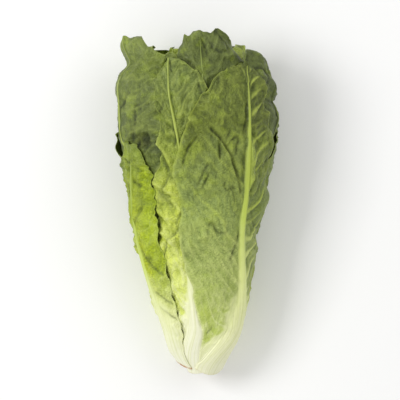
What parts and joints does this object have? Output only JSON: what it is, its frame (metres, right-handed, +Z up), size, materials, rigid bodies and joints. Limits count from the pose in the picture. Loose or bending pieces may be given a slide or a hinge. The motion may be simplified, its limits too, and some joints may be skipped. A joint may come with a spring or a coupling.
{
  "type": "romaine lettuce head",
  "caption": "Elongated head of overlapping upright leaves with thick pale midribs round a short stem, cut at the butt and lying on its side.",
  "frame": {"origin": "middle of the head's bounding box in plan, on the surface that it lies on", "axes": "+Y along the head from the cut stem to the leaf tips, +Z up from the surface, +X to the right seen from above"},
  "size_m": [0.1422, 0.298, 0.1079],
  "materials": {
    "outer_leaf": "waxy leaf, satin, pale at the midrib",
    "inner_leaf": "waxy pale yellow-green leaf, satin",
    "stem": "matt cream stem, browned at the cut"
  },
  "bodies": {
    "root": {"heart_leaf_14": "inner_leaf", "heart_leaf_15": "inner_leaf", "heart_leaf_16": "inner_leaf", "heart_leaf_17": "inner_leaf", "heart_leaf_18": "inner_leaf", "heart_leaf_19": "inner_leaf", "middle_leaf_10": "inner_leaf", "middle_leaf_11": "inner_leaf", "middle_leaf_12": "inner_leaf", "middle_leaf_13": "inner_leaf", "outer_leaf_01": "outer_leaf", "outer_leaf_02": "outer_leaf", "outer_leaf_03": "outer_leaf", "outer_leaf_04": "outer_leaf", "outer_leaf_05": "outer_leaf", "outer_leaf_06": "outer_leaf", "outer_leaf_07": "outer_leaf", "outer_leaf_08": "outer_leaf", "outer_leaf_09": "outer_leaf", "stem_core": "stem"}
  },
  "joints": []
}
